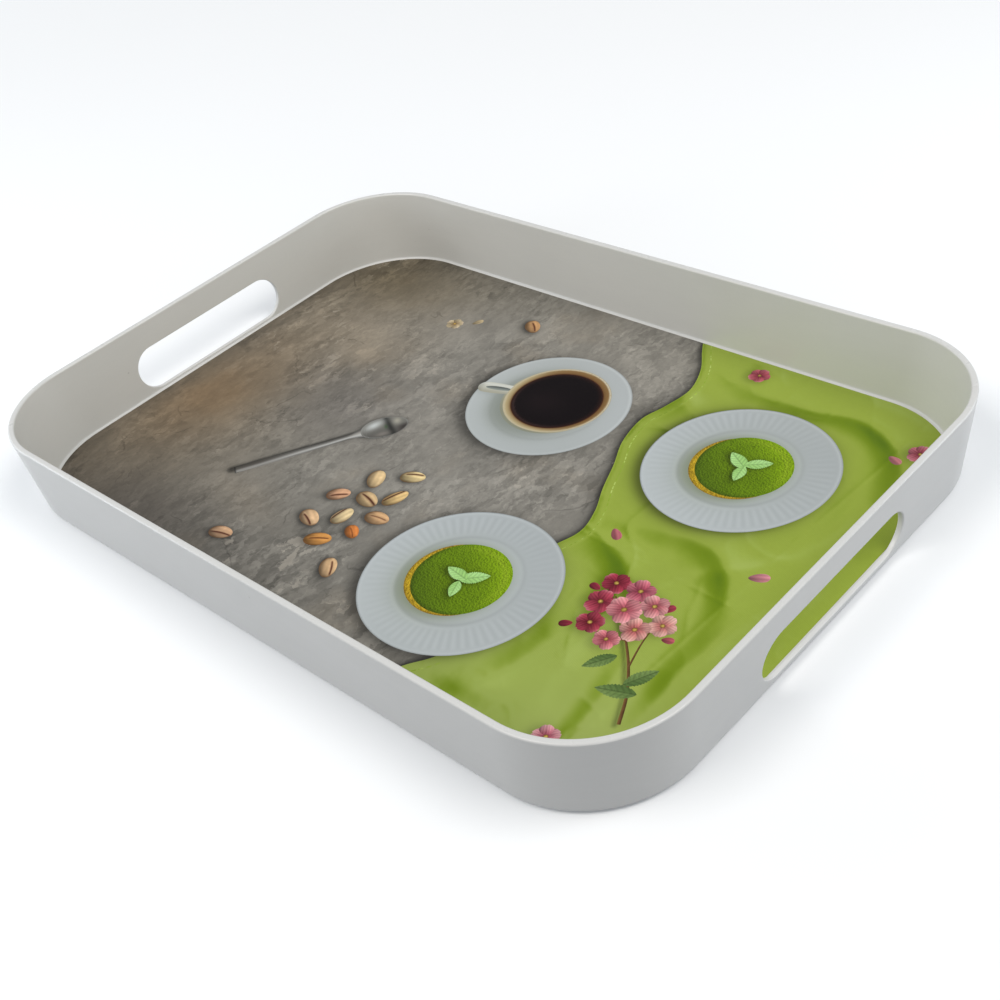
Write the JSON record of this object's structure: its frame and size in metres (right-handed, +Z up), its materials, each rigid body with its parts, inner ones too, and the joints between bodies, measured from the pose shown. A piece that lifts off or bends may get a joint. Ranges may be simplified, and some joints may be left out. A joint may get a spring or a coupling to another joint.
{
  "type": "serving tray",
  "caption": "Shallow rectangular moulded plastic serving tray with rounded corners, a stadium hand slot in each end wall and a printed still-life decor film on the floor.",
  "frame": {"origin": "centre of the footprint, on the plane the foot ring rests on", "axes": "+X along the length from hand slot to hand slot, +Y across the width, +Z up"},
  "size_m": [0.45, 0.311, 0.047],
  "materials": {
    "moulded_plastic": "off-white moulded plastic, satin gloss, with faint flow marks, fine scuffs and brighter polished edges",
    "printed_film": "glossy printed film: grey stone, green cloth, white crockery with green cakes, coffee and pistachios"
  },
  "bodies": {
    "root": {"tray_body": "moulded_plastic", "print_film": "printed_film"}
  },
  "joints": []
}
